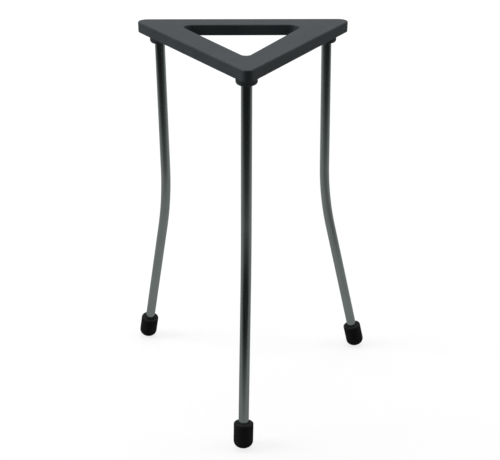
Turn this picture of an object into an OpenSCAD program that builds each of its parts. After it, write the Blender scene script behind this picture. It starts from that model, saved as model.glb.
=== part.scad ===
// Tripod stand for the laboratory bench.
// A cast triangular ring carries a gauze or a dish over a burner. Three bent steel rods
// are screwed up into bosses under its corners, and each rod stands in a rubber foot.
//
// The ring's vertical axis is the Z axis and the bench is the plane z = 0.
// One corner of the ring points to the front, along -Y.

/* [Ring] */
// Overall height above the bench
height = 223; // [180:1:260]
// Length of a side, measured over its two rounded corners
side = 125; // [110:1:160]
// Width of the back bar
back_bar_w = 15; // [12:0.5:18]
// Width that the two side bars start with at the front corner
side_bar_w = 14.5; // [12:0.5:18]
// Angle by which the right bar widens towards the back
right_taper = 3.1; // [0:0.1:4]
// Angle by which the left bar widens towards the back
left_taper = 1.9; // [0:0.1:4]
// Thickness of the ring
ring_t = 6.5; // [5:0.1:10]
// Radius of the two outer corners at the back
corner_r = 5.5; // [4:0.5:8]
// Radius of the outer corner at the front
front_corner_r = 3.5; // [3:0.5:8]
// Radius of the opening's front corner
opening_front_r = 2.5; // [1:0.5:8]
// Radius of the opening's right corner
opening_right_r = 6; // [1:0.5:10]
// Radius of the opening's left corner
opening_left_r = 5; // [1:0.5:10]
// Radius that softens the long cast edges
edge_r = 0.8; // [0.4:0.1:1.2]

/* [Bosses] */
// Distance from the centre of a boss to each of the two outer sides beside it
boss_inset = 9.7; // [9:0.1:12]
// Diameter of a boss
boss_d = 11.6; // [10:0.1:13]
// How far a boss reaches below the ring
boss_h = 5.3; // [3:0.1:8]
// Radius of a boss's lower rim
boss_rim_r = 1.8; // [0.5:0.1:2]
// Radius of the fillet between a boss and the ring
boss_fillet_r = 1.6; // [0.5:0.1:2]
// Metal left between the point of the tapped hole and the upper face
hole_roof = 1.5; // [1:0.1:2.5]
// Chamfer at the mouth of the tapped hole
hole_chamfer = 0.4; // [0.2:0.1:0.6]

/* [Rods] */
// Diameter of a rod and of the thread at its upper end
rod_d = 6; // [5:0.1:7]
// Chamfer at both ends of a rod
rod_chamfer = 0.6; // [0.2:0.1:1]
// Height of the bend above the bench
bend_height = 110; // [90:1:130]
// Angle of the bend
splay = 12.1; // [8:0.1:16]
// Radius of the bend, to the rod's centre line
bend_r = 200; // [100:5:260]
// Space left above a rod's end in its hole
end_gap = 0.4; // [0.2:0.1:1]
// Clearance between a rod's thread and its hole, on the radius
thread_clearance = 0.05; // [0.02:0.01:0.1]

/* [Stance of each rod, in degrees] */
// Lean of the front hole away from the ring's axis
front_lean = 0.9; // [-2:0.1:2]
// Lean of the right hole away from the ring's axis
right_lean = 1.7; // [-2:0.1:2]
// Lean of the left hole away from the ring's axis
left_lean = -0.5; // [-2:0.1:2]
// Turn of the front rod in its hole, counter-clockwise from straight outwards
front_turn = -5; // [-60:1:60]
// Turn of the right rod in its hole, counter-clockwise from straight outwards
right_turn = -44; // [-60:1:60]
// Turn of the left rod in its hole, counter-clockwise from straight outwards
left_turn = -7; // [-60:1:60]

/* [Rubber feet] */
// Diameter of a foot
foot_d = 11.5; // [9:0.1:14]
// Length of a foot
foot_length = 15.2; // [12:0.1:20]
// Thickness of rubber below the rod
foot_floor = 4.6; // [3:0.1:6]
// Radius of a foot's rounded tip
foot_tip_r = 4.3; // [2:0.1:4.4]
// Radius of a foot's upper rim
foot_rim_r = 0.7; // [0.3:0.1:1]
// Clearance between a rod and its foot, on the radius
foot_clearance = 0.02; // [0.01:0.01:0.05]

/* [Hidden] */
$fn = 64;

// Full angle of a drill's point
DRILL_POINT = 118;
// How far a cutting shape runs past the face it cuts
CUT = 0.5;
// How far two forms of one solid lap, so that no two of their faces only just touch
LAP = 0.01;
// Angle by which each end of a bend lies inside the straight rod beside it
TUCK = 0.2;

// Directions of the ring's corners, seen from its axis
FRONT = -90;
RIGHT = 30;
LEFT = 150;
CORNERS = [FRONT, RIGHT, LEFT];

// Directions that the ring's sides face
RIGHT_SIDE = -30;
BACK_SIDE = 90;
LEFT_SIDE = 210;

// Distances from the ring's axis to its straight sides, its bosses and the point where the
// opening's two slanting sides would meet
outer_side = (side - 2 * corner_r) / sqrt(12) + corner_r;
boss_centre = 2 * (outer_side - boss_inset);
opening_point = 2 * (outer_side - side_bar_w);

// The right, back and left sides of the ring and of its opening, each as the direction that
// it faces and its distance from the axis
outer_sides = [for (facing = [RIGHT_SIDE, BACK_SIDE, LEFT_SIDE]) [facing, outer_side]];
opening_sides = [slanting_side(RIGHT_SIDE + right_taper), [BACK_SIDE, outer_side - back_bar_w],
    slanting_side(LEFT_SIDE - left_taper)];

// Radii of the front, right and left corners
outer_radii = [front_corner_r, corner_r, corner_r];
opening_radii = [opening_front_r, opening_right_r, opening_left_r];

// Heights above the bench
ring_bottom = height - ring_t;
boss_bottom = ring_bottom - boss_h;

// The tapped hole, measured from the bottom of its boss to the shoulder of its point
rod_r = rod_d / 2;
hole_r = rod_r + thread_clearance;
point_height = hole_r / tan(DRILL_POINT / 2);
hole_depth = boss_h + ring_t - hole_roof - point_height;
thread_length = hole_depth - end_gap;

// A rod's bend, measured from the bottom of its boss
bend_throw = bend_r * (1 - cos(splay));
bend_drop = bend_r * sin(splay);
straight = boss_bottom - bend_height - bend_r * tan(splay / 2);
foot_r = foot_d / 2;

// Cosine and sine of the lower part's slope from the vertical
function slope_cos(turn, lean) = cos(splay) * cos(lean) - sin(splay) * cos(turn) * sin(lean);
function slope_sin(turn, lean) = sqrt(1 - pow(slope_cos(turn, lean), 2));

// Height of the bend's lower end above the bench
function bend_end(turn, lean) =
    boss_bottom + bend_throw * cos(turn) * sin(lean) - (straight + bend_drop) * cos(lean);

// Length of a rod below its bend, so that its foot just touches the bench
function lower_length(turn, lean) =
    (bend_end(turn, lean) - foot_tip_r - (foot_r - foot_tip_r) * slope_sin(turn, lean))
        / slope_cos(turn, lean) - foot_floor + foot_tip_r;

// A side of the opening that runs through the opening's front point
function slanting_side(facing) = [facing, opening_point * cos(facing - FRONT)];

// The side before the corner i of a triangle. The side after it is sides[i].
function side_before(sides, i) = sides[(i + 2) % 3];

// Centre of the arc of radius r that rounds the corner between sides a and b
function arc_centre(a, b, r) = [(a[1] - r) * sin(b[0]) - (b[1] - r) * sin(a[0]),
    (b[1] - r) * cos(a[0]) - (a[1] - r) * cos(b[0])] / sin(b[0] - a[0]);
function arc_centres(sides, radii) =
    [for (i = [0:2]) arc_centre(side_before(sides, i), sides[i], radii[i])];

// The outline of a triangle between its sides, with its corners rounded by radii. The
// rounds stand proud of the straight sides by LAP.
module rounded_triangle(sides, radii) {
    centres = arc_centres(sides, radii);
    polygon([for (i = [0:2]) for (facing = [side_before(sides, i)[0], sides[i][0]])
        centres[i] + radii[i] * [cos(facing), sin(facing)]]);
    for (i = [0:2])
        translate(centres[i]) circle(radii[i] + LAP);
}

// What softening takes off a square edge at the origin that has its metal below it and
// to its left. Its curve crosses both faces, because faces that only touch don't cut cleanly.
module edge_waste() {
    translate([-edge_r, -edge_r]) difference() {
        square(edge_r + CUT);
        circle(edge_r + LAP);
    }
}

// The waste round one corner at z = 0, where the outline turns from side a to side b
module corner_cutter(a, b, r, opening) {
    translate(arc_centre(a, b, r)) rotate(a[0]) rotate_extrude(angle = (b[0] - a[0] + 360) % 360)
        translate([r + LAP, 0]) mirror([opening ? 1 : 0, 0]) edge_waste();
}

// The waste along one straight side at z = 0, between the arcs with centres before and after
module side_cutter(side, before, after, opening) {
    along = [-sin(side[0]), cos(side[0])];
    start = before * along - LAP;
    end = after * along + LAP;
    rotate(side[0]) translate([side[1], end]) rotate([90, 0, 0]) linear_extrude(end - start)
        mirror([opening ? 1 : 0, 0]) edge_waste();
}

// The waste run round a rounded triangle at z = 0: outside it, or mirrored round an opening
module edge_cutter(sides, radii, opening) {
    centres = arc_centres(sides, radii);
    for (i = [0:2]) {
        corner_cutter(side_before(sides, i), sides[i], radii[i], opening);
        side_cutter(sides[i], centres[i], centres[(i + 1) % 3], opening);
    }
}

// The waste along every edge of the ring's upper face at z = 0
module face_cutters() {
    edge_cutter(outer_sides, outer_radii, false);
    edge_cutter(opening_sides, opening_radii, true);
}

// The flat ring, standing on z = 0, with all its long edges softened
module ring() {
    difference() {
        linear_extrude(ring_t) difference() {
            rounded_triangle(outer_sides, outer_radii);
            rounded_triangle(opening_sides, opening_radii);
        }
        translate([0, 0, ring_t]) face_cutters();
        mirror([0, 0, 1]) face_cutters();
    }
}

// Half of a boss's section, with the ring's lower face at y = 0
module boss_section() {
    boss_r = boss_d / 2;
    fillet = min(boss_fillet_r, boss_inset - edge_r - boss_r);
    translate([0, -boss_h]) square([boss_r - boss_rim_r, boss_h + ring_t / 2]);
    translate([0, boss_rim_r - boss_h]) square([boss_r, boss_h - boss_rim_r + ring_t / 2]);
    translate([boss_r - boss_rim_r, boss_rim_r - boss_h]) circle(boss_rim_r);
    difference() {
        translate([0, -fillet - LAP]) square([boss_r + fillet, fillet + ring_t / 2]);
        translate([boss_r + fillet, -fillet - LAP]) circle(fillet);
    }
}

// Places children at the bottom of a corner's boss, along the axis of its tapped hole
module at_hole(corner, lean) {
    rotate(corner) translate([boss_centre, 0, boss_bottom]) rotate([0, -lean, 0]) children();
}

// A blind tapped hole with a chamfered mouth and a drill point, open at z = 0
module tapped_hole() {
    rotate_extrude() polygon([[0, -CUT], [hole_r + hole_chamfer + CUT, -CUT], [hole_r, hole_chamfer],
        [hole_r, hole_depth], [0, hole_depth + point_height]]);
}

// The casting: the ring with three bosses and their tapped holes
module top_frame() {
    color("#50555a") difference() {
        translate([0, 0, ring_bottom]) {
            ring();
            for (a = CORNERS)
                translate([boss_centre * cos(a), boss_centre * sin(a)])
                    rotate_extrude() boss_section();
        }
        at_hole(FRONT, front_lean) tapped_hole();
        at_hole(RIGHT, right_lean) tapped_hole();
        at_hole(LEFT, left_lean) tapped_hole();
    }
}

// Places children at the lower end of the bend, along the lower part of a rod
module below_bend() {
    translate([bend_throw, 0, -straight - bend_drop]) rotate([0, -splay, 0]) children();
}

// A straight length of rod from z = 0 upwards, with its upper end chamfered
module straight_rod(length) {
    rotate_extrude() polygon([[0, 0], [rod_r, 0], [rod_r, length - rod_chamfer],
        [rod_r - rod_chamfer, length], [0, length]]);
}

// A bent rod with its thread above z = 0. It leans out along +X below the bend.
// The bend's section is a hair smaller, and its ends lie inside the straight lengths.
module rod(lower) {
    translate([0, 0, -straight]) straight_rod(straight + thread_length);
    translate([bend_r, 0, -straight]) rotate([90, 0, 0]) rotate(180 - TUCK)
        rotate_extrude(angle = splay + 2 * TUCK) translate([bend_r, 0]) circle(rod_r - LAP);
    below_bend() mirror([0, 0, 1]) straight_rod(lower);
}

module leg(corner, turn, lean) {
    color("#b9bcb8") at_hole(corner, lean) rotate(turn) rod(lower_length(turn, lean));
}

// Half of a foot's section, standing on y = 0
module foot_section() {
    intersection() {
        square([foot_r, foot_length]);
        union() {
            square([foot_r - foot_tip_r, foot_length]);
            translate([0, foot_tip_r]) square([foot_r - foot_rim_r, foot_length - foot_tip_r]);
            translate([0, foot_tip_r]) square([foot_r, foot_length - foot_tip_r - foot_rim_r]);
            translate([foot_r - foot_tip_r, foot_tip_r]) circle(foot_tip_r);
            translate([foot_r - foot_rim_r, foot_length - foot_rim_r]) circle(foot_rim_r);
        }
    }
}

// A rubber foot that stands on z = 0, with the socket for its rod
module foot_body() {
    difference() {
        rotate_extrude() foot_section();
        translate([0, 0, foot_floor]) cylinder(r = rod_r + foot_clearance, h = foot_length);
    }
}

module foot(corner, turn, lean) {
    color("#161616") at_hole(corner, lean) rotate(turn) below_bend()
        translate([0, 0, -lower_length(turn, lean) - foot_floor]) foot_body();
}

module leg_front() {
    leg(FRONT, front_turn, front_lean);
}

module leg_right() {
    leg(RIGHT, right_turn, right_lean);
}

module leg_left() {
    leg(LEFT, left_turn, left_lean);
}

module foot_front() {
    foot(FRONT, front_turn, front_lean);
}

module foot_right() {
    foot(RIGHT, right_turn, right_lean);
}

module foot_left() {
    foot(LEFT, left_turn, left_lean);
}

top_frame();
leg_front();
leg_right();
leg_left();
foot_front();
foot_right();
foot_left();
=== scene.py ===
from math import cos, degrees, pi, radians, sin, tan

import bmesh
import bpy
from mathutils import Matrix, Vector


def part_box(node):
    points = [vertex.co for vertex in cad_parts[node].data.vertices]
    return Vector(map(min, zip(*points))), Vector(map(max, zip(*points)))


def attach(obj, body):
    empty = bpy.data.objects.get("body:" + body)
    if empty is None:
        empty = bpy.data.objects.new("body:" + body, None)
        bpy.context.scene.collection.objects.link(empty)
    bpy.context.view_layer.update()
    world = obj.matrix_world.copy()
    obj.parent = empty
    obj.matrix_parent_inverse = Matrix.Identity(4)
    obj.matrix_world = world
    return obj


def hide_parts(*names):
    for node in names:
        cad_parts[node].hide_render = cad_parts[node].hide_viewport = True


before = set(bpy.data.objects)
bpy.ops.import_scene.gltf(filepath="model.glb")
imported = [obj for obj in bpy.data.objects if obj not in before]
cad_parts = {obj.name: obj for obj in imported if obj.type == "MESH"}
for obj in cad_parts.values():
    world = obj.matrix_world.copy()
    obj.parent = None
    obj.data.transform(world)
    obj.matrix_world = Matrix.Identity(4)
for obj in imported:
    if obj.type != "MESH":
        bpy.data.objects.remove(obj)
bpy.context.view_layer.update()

# %% [markdown]
# # A tripod stand for the laboratory bench
# The real stand has three kinds of pieces: a cast and coated top frame, three plated steel
# rods, and three rubber feet. The construction comes in with the frame, at its real size
# and in metres. This script gives each kind its finish. It also remakes the rods and the
# feet with finer forms, because a thread, a bend and a moulding line are small shapes that
# a construction drawing leaves out.

MM = 0.001
SAME_POINT = 0.001 * MM
scene = bpy.context.scene
scene.view_settings.view_transform = "Standard"

# %% [markdown]
# ## The camera
# The stand is seen from the front and from a little above. A camera in Blender looks along
# its own -Z axis, so it is placed by a matrix: its columns are the directions to the right,
# up and back, and the place where it stands. The last turn is a very small roll.

# %% Camera
AZIMUTH = radians(-1.62)
ELEVATION = radians(25.59)
ROLL = radians(0.26)
DISTANCE = 573.8 * MM
LENS = 67.21
SENSOR = 36
AIM_HEIGHT = 113 * MM
SLIDE_RIGHT = 3.7 * MM
SLIDE_DOWN = 11.1 * MM


def make_camera():
    data = bpy.data.cameras.new("camera")
    data.sensor_width = SENSOR
    data.lens = LENS
    data.clip_start = 0.01
    camera = bpy.data.objects.new("camera", data)
    scene.collection.objects.link(camera)
    level = cos(ELEVATION)
    back = Vector((sin(AZIMUTH) * level, -cos(AZIMUTH) * level, sin(ELEVATION)))
    right = Vector((cos(AZIMUTH), sin(AZIMUTH), 0))
    up = back.cross(right)
    aim = Vector((0, 0, AIM_HEIGHT)) + SLIDE_RIGHT * right - SLIDE_DOWN * up
    place = aim + DISTANCE * back
    axes = Matrix((right, up, back)).transposed().to_4x4()
    camera.matrix_world = Matrix.Translation(place) @ axes @ Matrix.Rotation(ROLL, 4, "Z")
    return camera


scene.camera = make_camera()
print("Camera stands at", [round(c, 3) for c in scene.camera.matrix_world.translation])

# %% [markdown]
# ## Node helpers
# Every finish below is a small network of shader nodes, and a few helpers keep that short.
# *add_node* adds a node, sets its plain values and joins its inputs. The Mix node has one
# pair of inputs for each kind of data, so *mix_colours* picks the pair for colours. The
# nodes could also be drawn by hand in the shader editor, but a script can be run again.

# %% Node helpers


def add_node(tree, kind, values=None, **properties):
    """Adds a node. values maps an input to a value, or to the output that feeds it."""
    node = tree.nodes.new(kind)
    for name, value in properties.items():
        setattr(node, name, value)
    for key, value in (values or {}).items():
        if isinstance(value, bpy.types.NodeSocket):
            tree.links.new(value, node.inputs[key])
        else:
            node.inputs[key].default_value = value
    return node


def mix_colours(tree, factor, first, second):
    return add_node(tree, "ShaderNodeMix", {0: factor, 6: first, 7: second},
        data_type="RGBA").outputs[2]


def spread(tree, value, low, high, from_low=0.0, from_high=1.0):
    """Spreads a value that runs between from_low and from_high out between low and high."""
    return add_node(tree, "ShaderNodeMapRange", {"Value": value, "From Min": from_low,
        "From Max": from_high, "To Min": low, "To Max": high}).outputs["Result"]


def mapped(tree, source, scale=(1, 1, 1)):
    """Coordinates through a Mapping node, where a pattern can be stretched."""
    return add_node(tree, "ShaderNodeMapping", {"Vector": source, "Scale": scale}).outputs[0]


def object_coordinates(tree):
    return mapped(tree, add_node(tree, "ShaderNodeTexCoord").outputs["Object"])


def empty_material(name):
    """A material whose nodes are all still to come, and its node tree."""
    material = bpy.data.materials.new(name)
    material.use_nodes = True
    material.node_tree.nodes.clear()
    return material, material.node_tree


print("Helpers for nodes are ready")

# %% [markdown]
# ## The studio
# The floor is one large disc. It is lit like the stand, so it keeps the stand's soft shadow.
# Stronger lamps would make it white, but they would wash out the stand as well. Instead, an
# emission that only camera, glossy and transmission rays see lifts it to the white of a
# paper sweep. The lamps fade with distance, so the emission grows with it.

# %% Floor
FLOOR_RADIUS = 12.0
FLOOR_SIDES = 96
FLOOR_COLOUR = (0.25, 0.25, 0.25, 1)
LIFT_NEAR, LIFT_FAR = 0.78, 1.0
NEAR, FAR = 0.3, 1.5


def seen_directly(tree):
    """1 for camera, glossy and transmission rays, and 0 for the rays that carry light."""
    path = add_node(tree, "ShaderNodeLightPath")
    shiny = add_node(tree, "ShaderNodeMath", {0: path.outputs["Is Camera Ray"],
        1: path.outputs["Is Glossy Ray"]}, operation="MAXIMUM")
    return add_node(tree, "ShaderNodeMath", {0: shiny.outputs[0],
        1: path.outputs["Is Transmission Ray"]}, operation="MAXIMUM").outputs[0]


def floor_material():
    material, tree = empty_material("paper_sweep")
    paper = add_node(tree, "ShaderNodeBsdfDiffuse", {"Color": FLOOR_COLOUR})
    away = add_node(tree, "ShaderNodeVectorMath", {0: object_coordinates(tree)},
        operation="LENGTH").outputs["Value"]
    strength = add_node(tree, "ShaderNodeMath", {0: seen_directly(tree),
        1: spread(tree, away, LIFT_NEAR, LIFT_FAR, NEAR, FAR)}, operation="MULTIPLY")
    glow = add_node(tree, "ShaderNodeEmission", {"Strength": strength.outputs[0]})
    both = add_node(tree, "ShaderNodeAddShader", {0: paper.outputs[0], 1: glow.outputs[0]})
    add_node(tree, "ShaderNodeOutputMaterial", {"Surface": both.outputs[0]})
    return material


def mesh_object(name, bm, material):
    """Turns a bmesh into an object at the origin and gives it its material."""
    mesh = bpy.data.meshes.new(name)
    bm.to_mesh(mesh)
    bm.free()
    mesh.materials.append(material)
    piece = bpy.data.objects.new(name, mesh)
    scene.collection.objects.link(piece)
    return piece


bm = bmesh.new()
bmesh.ops.create_circle(bm, cap_ends=True, segments=FLOOR_SIDES, radius=FLOOR_RADIUS)
floor = mesh_object("studio_floor", bm, floor_material())
print("Floor disc of radius", FLOOR_RADIUS, "m")

# %% [markdown]
# ## Lamps and world
# Three soft boxes light the stand: a wide one overhead, one on the left and a weaker one on
# the right, so that the casting's two front faces differ. Small lamps would give hard
# shadows and pinpoint highlights on the rods. The world is white where the camera or
# polished metal looks at it, and dim where it only fills in the shadows.

# %% Lamps and world
FILL = 0.2
AIM = (0, 0, 0.15)
# Where each soft box hangs, its width in metres and its power in watts
SOFT_BOXES = {
    "overhead": ((0, 0.35, 1.25), 1.0, 7.5),
    "left": ((-1.0, 0.05, 0.65), 0.5, 7.0),
    "right": ((1.0, 0.05, 0.65), 0.5, 3.2),
}


def soft_box(name, place, width, power):
    data = bpy.data.lights.new(name, "AREA")
    data.shape = "SQUARE"
    data.size = width
    data.energy = power
    lamp = bpy.data.objects.new(name, data)
    lamp.location = place
    lamp.rotation_euler = (Vector(AIM) - Vector(place)).to_track_quat("-Z", "Y").to_euler()
    scene.collection.objects.link(lamp)


def make_world():
    world = bpy.data.worlds.new("studio")
    scene.world = world
    world.use_nodes = True
    tree = world.node_tree
    tree.nodes.clear()
    strength = add_node(tree, "ShaderNodeMapRange", {"Value": seen_directly(tree), "To Min": FILL,
        "To Max": 1.0})
    background = add_node(tree, "ShaderNodeBackground", {"Color": (1, 1, 1, 1),
        "Strength": strength.outputs[0]})
    add_node(tree, "ShaderNodeOutputWorld", {"Surface": background.outputs[0]})


make_world()
for name, (place, width, power) in SOFT_BOXES.items():
    soft_box(name, place, width, power)
print("Soft boxes:", ", ".join(SOFT_BOXES))

# %% [markdown]
# ## A dark card
# Polished metal shows what stands round it, and in an all-white room a chrome rod would
# vanish. So grey and black cards are set up where only the metal sees them. A few flat
# cards would do, but their edges would show in the rods as hard lines. This one is a
# shallow bowl round the stand: a floor and a wall, made by spinning an L. Its tone depends
# on the distance from a point far behind the stand: grey there, darker under the stand and
# nearly black in front. Higher up its wall it is never darker than a middle grey, so the
# rods look like metal from low down too. Only glossy rays see it, so it shades nothing.

# %% Dark card
CARD_RADIUS = 1.15
CARD_WALL = 0.9
CARD_LIFT = 2 * MM
CARD_STEPS = 72
PALE_POINT = (0, 0.9, 0)
CARD_SPAN = 2.0
# Distance from the pale point in metres, and the card's tone there
CARD_TONES = ((0.50, 0.40), (0.70, 0.30), (0.85, 0.24), (1.05, 0.20), (1.20, 0.095),
    (1.30, 0.052), (1.36, 0.032), (1.44, 0.021), (1.52, 0.015), (1.62, 0.009),
    (1.75, 0.012), (1.90, 0.016))
# The wall's own tone grows from nothing at the one height to this at the other
WALL_TONE = 0.22
WALL_FOOT, WALL_MIDDLE = 0.04, 0.22


def card_tone(tree, away):
    """A colour ramp with one stop for each of the card's tones."""
    tone = add_node(tree, "ShaderNodeValToRGB", {"Fac": spread(tree, away, 0, 1, 0, CARD_SPAN)})
    stops = tone.color_ramp.elements
    while len(stops) < len(CARD_TONES):
        stops.new(1.0)
    for stop, (distance, grey) in zip(stops, CARD_TONES):
        stop.position, stop.color = distance / CARD_SPAN, (grey, grey, grey, 1)
    return tone


def card_material():
    material, tree = empty_material("dark_card")
    place = object_coordinates(tree)
    height = add_node(tree, "ShaderNodeSeparateXYZ", {"Vector": place}).outputs["Z"]
    away = add_node(tree, "ShaderNodeVectorMath", {0: place, 1: PALE_POINT},
        operation="DISTANCE").outputs["Value"]
    tone = card_tone(tree, away)
    lighter = add_node(tree, "ShaderNodeMath", {0: tone.outputs["Color"],
        1: spread(tree, height, 0, WALL_TONE, WALL_FOOT, WALL_MIDDLE)}, operation="MAXIMUM")
    glow = add_node(tree, "ShaderNodeEmission", {"Strength": lighter.outputs[0]})
    add_node(tree, "ShaderNodeOutputMaterial", {"Surface": glow.outputs[0]})
    return material


def make_card():
    bm = bmesh.new()
    corners = [(0, 0, CARD_LIFT), (0, CARD_RADIUS, CARD_LIFT), (0, CARD_RADIUS, CARD_WALL)]
    profile = [bm.verts.new(corner) for corner in corners]
    edges = [bm.edges.new(pair) for pair in zip(profile, profile[1:])]
    bmesh.ops.spin(bm, geom=profile + edges, cent=(0, 0, 0), axis=(0, 0, 1), angle=2 * pi,
        steps=CARD_STEPS, use_merge=True)
    bmesh.ops.remove_doubles(bm, verts=bm.verts, dist=SAME_POINT)
    card = mesh_object("dark_card", bm, card_material())
    card.visible_camera = False
    card.visible_diffuse = False
    card.visible_shadow = False
    card.visible_transmission = False
    return card


card = make_card()
print("Dark card:", len(card.data.polygons), "faces,", len(CARD_TONES), "tones")

# %% [markdown]
# ## Shared surface effects
# Two effects serve more than one material, so each is a node group with its own inputs.
# *Fine relief* mixes two sizes of noise into one height, for a Bump node. *Patches* gives a
# soft mask between 0 and 1, for finishes that are a little uneven. Copies of the nodes in
# each material would look the same, but a change would then have to be made in all of them.

# %% Shared node groups


def new_group(name, inputs, output):
    """A shader node group. inputs maps each input to its value, or to None for a vector."""
    group = bpy.data.node_groups.new(name, "ShaderNodeTree")
    for title, value in inputs.items():
        kind = "NodeSocketVector" if value is None else "NodeSocketFloat"
        socket = group.interface.new_socket(title, in_out="INPUT", socket_type=kind)
        if value is not None:
            socket.default_value = value
    group.interface.new_socket(output, in_out="OUTPUT", socket_type="NodeSocketFloat")
    given, result = group.nodes.new("NodeGroupInput"), group.nodes.new("NodeGroupOutput")
    return group, given.outputs, result.inputs


def fine_relief_group():
    group, given, result = new_group("fine relief",
        {"Vector": None, "Coarse Scale": 300.0, "Fine Scale": 1500.0, "Fine Share": 0.3}, "Height")
    coarse, fine = [
        add_node(group, "ShaderNodeTexNoise", {"Vector": given["Vector"],
            "Scale": given[size], "Detail": 2.0}).outputs["Fac"]
        for size in ("Coarse Scale", "Fine Scale")]
    mixed = add_node(group, "ShaderNodeMix", {0: given["Fine Share"], 2: coarse, 3: fine})
    group.links.new(mixed.outputs[0], result["Height"])
    return group


def patches_group():
    group, given, result = new_group("patches",
        {"Vector": None, "Scale": 40.0, "Low": 0.4, "High": 0.6}, "Mask")
    noise = add_node(group, "ShaderNodeTexNoise", {"Vector": given["Vector"],
        "Scale": given["Scale"], "Detail": 4.0})
    mask = add_node(group, "ShaderNodeMapRange", {"Value": noise.outputs["Fac"],
        "From Min": given["Low"], "From Max": given["High"]}, interpolation_type="SMOOTHSTEP")
    group.links.new(mask.outputs["Result"], result["Mask"])
    return group


FINE_RELIEF = fine_relief_group()
PATCHES = patches_group()


def relief(tree, vector, coarse, fine, share):
    """Places the fine relief group. The two scales count patterns to the metre."""
    return add_node(tree, "ShaderNodeGroup", {"Vector": vector, "Coarse Scale": coarse,
        "Fine Scale": fine, "Fine Share": share}, node_tree=FINE_RELIEF).outputs["Height"]


def patches(tree, vector, scale, low, high):
    """Places the patches group. low and high set where a patch's soft edge lies."""
    return add_node(tree, "ShaderNodeGroup", {"Vector": vector, "Scale": scale, "Low": low,
        "High": high}, node_tree=PATCHES).outputs["Mask"]


print("Shared groups:", FINE_RELIEF.name, "and", PATCHES.name)

# %% [markdown]
# ## What the finishes share
# Each of the three finishes below is one Principled BSDF. Two things stay plain numbers on
# it, because they are the same all over the surface: how metallic it is and how much it
# shines. Colour, roughness and relief change from place to place, so nodes feed them.

# %% Finish helpers


def finish_material(name, metallic=0.0, specular=0.5):
    """A new material with its Principled BSDF."""
    material = bpy.data.materials.new(name)
    material.use_nodes = True
    shader = material.node_tree.nodes["Principled BSDF"]
    shader.inputs["Metallic"].default_value = metallic
    shader.inputs["Specular IOR Level"].default_value = specular
    return material, material.node_tree, shader


def feed(tree, shader, colour, roughness, height, strength, distance):
    """Joins a finish's colour, roughness and relief to its shader."""
    bump = add_node(tree, "ShaderNodeBump", {"Height": height, "Strength": strength,
        "Distance": distance})
    tree.links.new(colour, shader.inputs["Base Color"])
    tree.links.new(roughness, shader.inputs["Roughness"])
    tree.links.new(bump.outputs["Normal"], shader.inputs["Normal"])


def report(material):
    print("Finish", material.name, "has", len(material.node_tree.nodes), "nodes")
    return material


print("Helpers for finishes are ready")

# %% [markdown]
# ## The coating on the casting
# The top frame is cast iron under a smooth, dark, slightly blue coat. The coat follows the
# fine skin of the sand casting, so light breaks up softly in it. Its roughness varies a
# little, and so does its tone. The skin's grain is under a millimetre, too fine to model as
# a mesh, so a Bump node makes it.

# %% Coating
COAT_DARK = (0.0420, 0.0490, 0.0540, 1)
COAT_PALE = (0.0520, 0.0600, 0.0655, 1)
COAT_SMOOTH, COAT_ROUGH = 0.42, 0.54
SAND_GRAIN = 0.25 * MM


def coating_material():
    material, tree, shader = finish_material("dark_coating", specular=0.12)
    place = object_coordinates(tree)
    uneven = patches(tree, place, scale=55.0, low=0.35, high=0.65)
    skin = relief(tree, place, coarse=420.0, fine=1900.0, share=0.45)
    feed(tree, shader, mix_colours(tree, uneven, COAT_DARK, COAT_PALE),
        spread(tree, uneven, COAT_SMOOTH, COAT_ROUGH), skin, strength=0.5, distance=SAND_GRAIN)
    return material


coating = report(coating_material())

# %% [markdown]
# ## The plating on the rods
# The rods are drawn steel with a bright plating. Drawing leaves very fine lines along the
# rod, and the plating has a faintly green-grey tone. The lines have to follow the rod round
# its bend. So each rod keeps, as an attribute of its mesh, the place that each point had
# while the rod was still straight. A Mapping node squeezes that along the rod, which
# stretches the noise into lines, and it has no seam as an unrolled UV map would.

# %% Plating
STRAIGHT_PLACE = "place_on_straight_rod"
PLATE_DARK = (0.54, 0.615, 0.59, 1)
PLATE_PALE = (0.575, 0.65, 0.625, 1)
PLATE_SMOOTH, PLATE_ROUGH = 0.10, 0.20
LINE_STRETCH = (1, 1, 0.01)
LINE_SCALE = 2500.0
LINE_DEPTH = 0.01 * MM


def plating_material():
    material, tree, shader = finish_material("bright_plating", metallic=1.0)
    straight = add_node(tree, "ShaderNodeAttribute",
        attribute_name=STRAIGHT_PLACE).outputs["Vector"]
    lines = add_node(tree, "ShaderNodeTexNoise", {"Vector": mapped(tree, straight, LINE_STRETCH),
        "Scale": LINE_SCALE, "Detail": 3.0}).outputs["Fac"]
    uneven = patches(tree, mapped(tree, straight), scale=70.0, low=0.3, high=0.7)
    roughness = spread(tree, lines, PLATE_SMOOTH, PLATE_ROUGH, from_low=0.3, from_high=0.7)
    feed(tree, shader, mix_colours(tree, uneven, PLATE_DARK, PLATE_PALE), roughness, lines,
        strength=0.1, distance=LINE_DEPTH)
    return material


plating = report(plating_material())

# %% [markdown]
# ## The rubber of the feet
# Moulded black rubber is matt, with a faint grain and slightly scuffed patches. Dull black
# still needs a low specular level, or the white room would turn it grey.

# %% Rubber
RUBBER_CLEAN = (0.0060, 0.0060, 0.0062, 1)
RUBBER_SCUFFED = (0.0095, 0.0095, 0.0097, 1)
RUBBER_SMOOTH, RUBBER_ROUGH = 0.62, 0.80
RUBBER_GRAIN = 0.08 * MM


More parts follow.
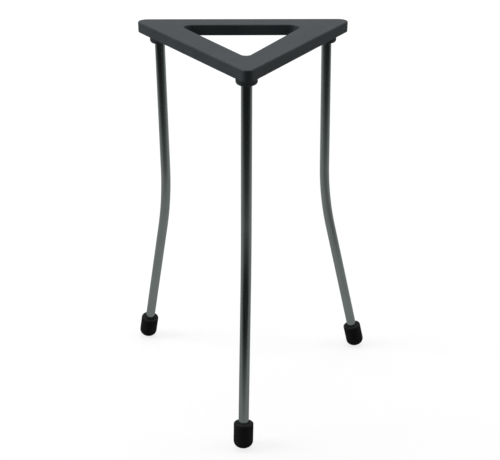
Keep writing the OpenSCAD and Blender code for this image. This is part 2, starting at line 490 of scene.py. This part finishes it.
def rubber_material():
    material, tree, shader = finish_material("moulded_rubber", specular=0.15)
    place = object_coordinates(tree)
    scuffed = patches(tree, place, scale=160.0, low=0.45, high=0.75)
    grain = relief(tree, place, coarse=900.0, fine=4000.0, share=0.5)
    feed(tree, shader, mix_colours(tree, scuffed, RUBBER_CLEAN, RUBBER_SCUFFED),
        spread(tree, scuffed, RUBBER_SMOOTH, RUBBER_ROUGH), grain, strength=0.2,
        distance=RUBBER_GRAIN)
    return material


rubber = report(rubber_material())

# %% [markdown]
# ## Sizes of the rods and feet
# These are the drawing's sizes. Where a rod starts comes from the frame: the lowest point of
# the casting's box is the bottom of its bosses.

# %% Sizes
BOSS_CENTRE = 57.42 * MM
ROD_RADIUS = 3 * MM
ROD_CHAMFER = 0.6 * MM
BEND_HEIGHT = 110 * MM
BEND_RADIUS = 200 * MM
SPLAY = radians(12.1)
THREAD_LENGTH = 8.07 * MM
FOOT_RADIUS = 5.75 * MM
FOOT_LENGTH = 15.2 * MM
FOOT_FLOOR = 4.6 * MM
FOOT_TIP = 4.3 * MM
FOOT_RIM = 0.7 * MM
SOCKET_RADIUS = 3.02 * MM

# The corner that a rod hangs from, its hole's lean away from the middle, its turn in the hole
STANCES = {
    "front": (radians(-90), radians(0.9), radians(-5)),
    "right": (radians(30), radians(1.7), radians(-44)),
    "left": (radians(150), radians(-0.5), radians(-7)),
}

BOSS_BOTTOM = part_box("top_frame")[0].z
STRAIGHT = BOSS_BOTTOM - BEND_HEIGHT - BEND_RADIUS * tan(SPLAY / 2)
BEND_RUN = BEND_RADIUS * SPLAY
BEND_CENTRE = Vector((BEND_RADIUS, 0, -STRAIGHT))
print(f"Straight above the bend: {STRAIGHT / MM:.2f} mm, bend: {BEND_RUN / MM:.2f} mm")

# %% [markdown]
# ## The places of the rods
# A rod is shaped upright, on its own axis, with z = 0 at the bottom of its boss. Two
# matrices then put it on the stand. One slides and turns a ring round the bend, and the
# other leans the whole rod a little, as its hole does, and carries it to its corner. A foot
# goes to the rod's end by the same two. The rod's lower part is as long as it takes for the
# foot to touch the floor.

# %% Places


def bend_by(run):
    """Slides a ring up to the start of the bend and turns it round the bend's centre."""
    turn = Matrix.Rotation(run / BEND_RADIUS, 4, (0, -1, 0))
    return (Matrix.Translation(BEND_CENTRE) @ turn @ Matrix.Translation(-BEND_CENTRE)
        @ Matrix.Translation((0, 0, run)))


def rod_place(corner, lean, turn):
    """From a rod's own axes, with z = 0 at the bottom of its boss, to the stand's axes."""
    return (Matrix.Rotation(corner, 4, "Z") @ Matrix.Translation((BOSS_CENTRE, 0, BOSS_BOTTOM))
        @ Matrix.Rotation(-lean, 4, "Y") @ Matrix.Rotation(turn, 4, "Z"))


def lower_length(place):
    """Length of rod below the bend, so that its foot's round tip just touches the floor."""
    bent = place @ bend_by(BEND_RUN)
    start = bent @ Vector((0, 0, -STRAIGHT - BEND_RUN))
    upright = (bent.to_3x3() @ Vector((0, 0, 1))).z
    slanted = (1 - upright ** 2) ** 0.5
    reach = (start.z - FOOT_TIP - (FOOT_RADIUS - FOOT_TIP) * slanted) / upright
    return reach - FOOT_FLOOR + FOOT_TIP


for side, stance in STANCES.items():
    lower = lower_length(rod_place(*stance))
    print(f"Below the bend, the {side} rod is {lower / MM:.2f} mm long")

# %% [markdown]
# ## A rod's blank
# A maker cuts the rod to length, chamfers both ends, cuts the thread and bends it last, and
# the mesh goes the same way. The blank is a cylinder, and one straight step of bevel on its
# two rims is the chamfer. The primitive has no rings between its ends, so planes cut them
# later where the rod is going to change shape, and the plain part stays light.

# %% Rod blank
ROD_SIDES = 64


def cut_ring(bm, height):
    """Cuts a ring of new edges right round at this height."""
    everything = bm.verts[:] + bm.edges[:] + bm.faces[:]
    bmesh.ops.bisect_plane(bm, geom=everything, plane_co=(0, 0, height), plane_no=(0, 0, 1))


def rod_blank(length):
    bm = bmesh.new()
    middle = Matrix.Translation((0, 0, THREAD_LENGTH - length / 2))
    bmesh.ops.create_cone(bm, cap_ends=True, segments=ROD_SIDES, radius1=ROD_RADIUS,
        radius2=ROD_RADIUS, depth=length, matrix=middle)
    rims = [edge for edge in bm.edges if any(len(face.verts) > 4 for face in edge.link_faces)]
    bmesh.ops.bevel(bm, geom=rims, offset=ROD_CHAMFER, offset_type="OFFSET", segments=1,
        profile=0.5, affect="EDGES", material=-1)
    return bm


print("Rod blank:", ROD_SIDES, "sides round", ROD_RADIUS / MM, "mm of radius")

# %% [markdown]
# ## The thread
# The thread sits in the casting's tapped hole. It could be a helix joined to the rod by a
# boolean, but that leaves poor faces where the two meet. Here eight rings are cut for each
# turn of the thread, and each point is drawn in by a zigzag wave that climbs one pitch for
# each turn round the rod. The wave grows over the first turn, as a die's cut does.
#
# Smooth shading spreads the tilt of a ring over the whole face beside it, and on polished
# metal that shifts the reflections. So two plain rings lie before the first cut one.

# %% Thread
THREAD_PITCH = 1 * MM
THREAD_DEPTH = 0.5 * MM
THREAD_RUN_IN = 1.2 * MM
RINGS_PER_PITCH = 8
PLAIN_RINGS = 2
# Above 2, this leaves a narrow flat at the root of the thread
FLANK_SLOPE = 2.2


def cut_thread(bm):
    top = THREAD_LENGTH - ROD_CHAMFER
    step = THREAD_PITCH / RINGS_PER_PITCH
    for ring in range(1, int(top / step)):
        cut_ring(bm, ring * step)
    start = PLAIN_RINGS * step
    for vert in bm.verts:
        height = vert.co.z
        if start < height < THREAD_LENGTH - ROD_CHAMFER / 2:
            angle = Vector((1, 0)).angle_signed(vert.co.xy, 0.0)
            turn = (height / THREAD_PITCH + angle / (2 * pi)) % 1.0
            run_in = min(1.0, (height - start) / THREAD_RUN_IN)
            depth = THREAD_DEPTH * run_in * min(1.0, FLANK_SLOPE * min(turn, 1 - turn))
            radius = vert.co.xy.length
            vert.co.xy *= (radius - depth) / radius


print("Thread:", round(THREAD_LENGTH / THREAD_PITCH, 1), "turns of", THREAD_PITCH / MM, "mm")

# %% [markdown]
# ## The bend
# Each rod is bent once, round a large former, so that its lower part splays out. A curve
# object with a round bevel would bend as well, but it couldn't carry the thread. Here rings
# are cut along the stretch that bends, and each ring is slid and turned about the bend's
# centre. All that lies below the bend moves with its last ring. One more ring guards each
# end, again so that smooth shading doesn't tilt the long straight faces.

# %% Bend
BEND_STEPS = 24
BEND_GUARD = 1 * MM


def bend_rod(bm):
    """Cuts the bend's rings, and turns each ring by the length of bend above it."""
    for step in range(BEND_STEPS + 1):
        cut_ring(bm, -STRAIGHT - BEND_RUN * step / BEND_STEPS)
    cut_ring(bm, -STRAIGHT + BEND_GUARD)
    cut_ring(bm, -STRAIGHT - BEND_RUN - BEND_GUARD)
    rings = {}
    for vert in bm.verts:
        below = -STRAIGHT - vert.co.z
        if below > 0:
            rings.setdefault(round(min(below, BEND_RUN) / MM, 4), []).append(vert)
    for run, ring in rings.items():
        bmesh.ops.transform(bm, matrix=bend_by(run * MM), verts=ring)


print(f"Bend: {BEND_STEPS} steps of {BEND_RUN / BEND_STEPS / MM:.2f} mm")

# %% [markdown]
# ## Finished pieces
# A piece's place goes into its mesh, and its object stays at the origin. The finishes read
# the object's coordinates, so they keep their scale and lie where the stand's own axes put
# them.

# %% Finished pieces
SHARP_ANGLE = radians(35)


def finished_piece(name, bm, place, material, node):
    """Puts a mesh in place on the stand, and hides the construction node that it takes the place
    of.
    """
    bmesh.ops.recalc_face_normals(bm, faces=bm.faces)
    piece = mesh_object(name, bm, material)
    piece.data.transform(place)
    piece.data.shade_smooth()
    piece.data.set_sharp_from_angle(angle=SHARP_ANGLE)
    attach(piece, "root")
    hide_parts(node)
    off = max((a - b).length for a, b in zip(corners(piece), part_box(node)))
    print(f"{name}: {len(piece.data.polygons)} faces, {off / MM:.3f} mm off its node's box")


def corners(piece):
    """Lowest and highest corner of a piece's mesh."""
    points = [vert.co for vert in piece.data.vertices]
    return [Vector([pick(point[axis] for point in points) for axis in range(3)])
        for pick in (min, max)]


print("Edges sharper than", round(degrees(SHARP_ANGLE)), "degrees stay crisp")

# %% [markdown]
# ## Three rods
# The three rods come from one blank and one bend. They differ only in how their holes lean
# and how far each was turned as it was screwed in. Before the bend, each point's place is
# kept as an attribute, for the drawn lines in the plating.

# %% Three rods


def make_rod(side):
    place = rod_place(*STANCES[side])
    bm = rod_blank(THREAD_LENGTH + STRAIGHT + BEND_RUN + lower_length(place))
    cut_thread(bm)
    before = bm.verts.layers.float_vector.new(STRAIGHT_PLACE)
    for vert in bm.verts:
        vert[before] = vert.co
    bend_rod(bm)
    finished_piece("rod_" + side, bm, place, plating, "leg_" + side)


for side in STANCES:
    make_rod(side)

# %% [markdown]
# ## A foot's outline
# A rubber foot is a turned form, so half of its outline is drawn once and then spun round
# the rod's axis. It could be drawn point by point, but six corners are enough. Beveling
# three of them rounds the tip, the rim and the mouth of the socket.

# %% Foot outline
FOOT_SIDES = 72
MOUTH_ROUND = 0.4 * MM


def round_corner(bm, corner, radius, steps):
    bmesh.ops.bevel(bm, geom=[corner], offset=radius, offset_type="OFFSET", segments=steps,
        profile=0.5, affect="VERTICES", material=-1)


def foot_outline(bm):
    outline = [(0, 0), (FOOT_RADIUS, 0), (FOOT_RADIUS, FOOT_LENGTH), (SOCKET_RADIUS, FOOT_LENGTH),
        (SOCKET_RADIUS, FOOT_FLOOR), (0, FOOT_FLOOR)]
    points = [bm.verts.new((x, 0, z)) for x, z in outline]
    for pair in zip(points, points[1:]):
        bm.edges.new(pair)
    round_corner(bm, points[1], FOOT_TIP, steps=12)
    round_corner(bm, points[2], FOOT_RIM, steps=5)
    round_corner(bm, points[3], MOUTH_ROUND, steps=3)


print(f"Foot outline: tip rounded by {FOOT_TIP / MM:.1f} mm, rim by {FOOT_RIM / MM:.1f} mm")

# %% [markdown]
# ## The mould line
# The two halves of the mould leave a thin line down both sides of a foot. Three planes cut
# a narrow strip there, and its middle is lifted a hair. A plane that only just misses a
# point would leave a sliver of a face, so a point that is very near it counts as cut. The
# line fades out on the tip, where the bench wears it off and the foot stands on the floor.

# %% Mould line
LINE_HALF_WIDTH = 0.14 * MM
LINE_HEIGHT = 0.07 * MM


def mould_line(bm):
    for offset in (-LINE_HALF_WIDTH, 0, LINE_HALF_WIDTH):
        everything = bm.verts[:] + bm.edges[:] + bm.faces[:]
        bmesh.ops.bisect_plane(bm, geom=everything, dist=SAME_POINT, plane_co=(0, offset, 0),
            plane_no=(0, 1, 0))
    bm.normal_update()
    for vert in bm.verts:
        outside = vert.co.xy.length > SOCKET_RADIUS + MOUTH_ROUND
        if outside and abs(vert.co.y) < LINE_HALF_WIDTH / 2:
            vert.co += vert.normal * LINE_HEIGHT * min(1.0, vert.co.z / FOOT_TIP) ** 2


print(f"Mould line: {2 * LINE_HALF_WIDTH / MM:.2f} mm wide, {LINE_HEIGHT / MM:.2f} mm high")

# %% [markdown]
# ## Three feet
# The feet are alike, and each sits squarely on the end of its rod. They were pushed on by
# hand, so their mould lines face different ways.

# %% Three feet
LINE_TURN = radians(55)


def make_foot(side, line_turn):
    bm = bmesh.new()
    foot_outline(bm)
    bmesh.ops.spin(bm, geom=bm.verts[:] + bm.edges[:], cent=(0, 0, 0), axis=(0, 0, 1),
        angle=2 * pi, steps=FOOT_SIDES, use_merge=True)
    bmesh.ops.remove_doubles(bm, verts=bm.verts, dist=SAME_POINT)
    bmesh.ops.recalc_face_normals(bm, faces=bm.faces)
    mould_line(bm)
    stance = rod_place(*STANCES[side])
    end = -STRAIGHT - BEND_RUN - lower_length(stance)
    place = (stance @ bend_by(BEND_RUN) @ Matrix.Translation((0, 0, end - FOOT_FLOOR))
        @ Matrix.Rotation(line_turn, 4, "Z"))
    finished_piece("rubber_" + side, bm, place, rubber, "foot_" + side)


for number, side in enumerate(STANCES):
    make_foot(side, LINE_TURN * number)

# %% [markdown]
# ## The casting
# The construction already has the casting's true form, with its softened edges, bosses and
# fillets. Remaking it here would add nothing, so it stays and only takes the coating.

# %% Casting
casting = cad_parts["top_frame"]
casting.material_slots[0].material = coating
print("Casting:", len(casting.data.polygons), "faces under", coating.name)
